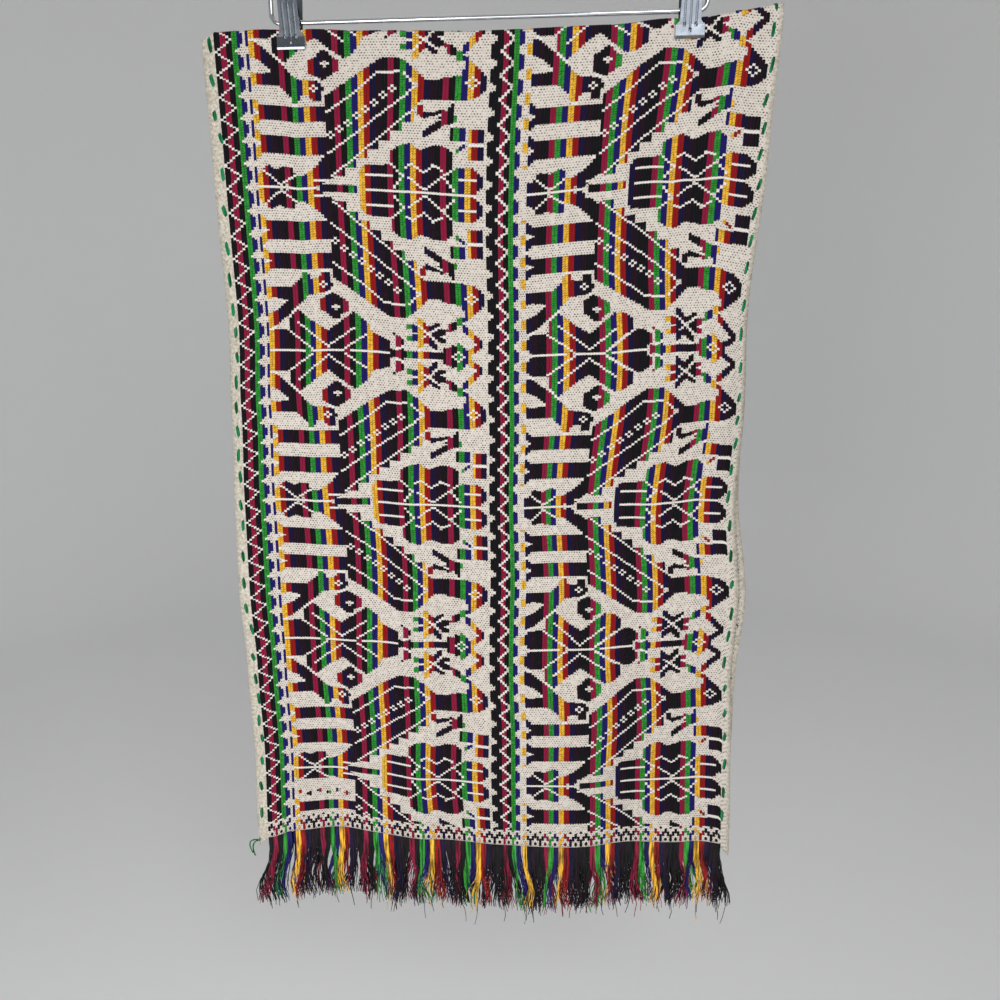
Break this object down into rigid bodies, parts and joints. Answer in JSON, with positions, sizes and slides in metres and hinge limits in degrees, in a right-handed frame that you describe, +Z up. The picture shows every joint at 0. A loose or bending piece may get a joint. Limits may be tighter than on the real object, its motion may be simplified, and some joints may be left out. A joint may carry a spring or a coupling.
{
  "type": "embroidered table runner on a clip hanger",
  "caption": "Hand-woven cotton runner with a patterned face and fringed ends, folded in half and clipped to a steel wire hanger.",
  "frame": {"origin": "inside top of the hanger's hook, where a rail or a wall hook carries it", "axes": "+Z up, front of the cloth towards -Y, the bar and the cloth's width along X"},
  "size_m": [0.4728, 0.024, 1.0169],
  "materials": {
    "cloth": "hand-woven cotton, raised coloured yarns",
    "fringe_yarn": "loose cotton yarn ends in the stripes' colours",
    "hanger_wire": "bright chrome-plated steel wire",
    "clip_plate": "nickel-plated pressed steel",
    "clip_spring": "dark spring steel"
  },
  "bodies": {
    "root": {"runner_cloth": "cloth", "fringe_front": "fringe_yarn", "fringe_back": "fringe_yarn", "hanger_frame": "hanger_wire", "hanger_collar": "hanger_wire", "hanger_hook": "hanger_wire", "clip_left_front": "clip_plate", "clip_left_back": "clip_plate", "clip_left_spring": "clip_spring", "clip_right_front": "clip_plate", "clip_right_back": "clip_plate", "clip_right_spring": "clip_spring"}
  },
  "joints": []
}
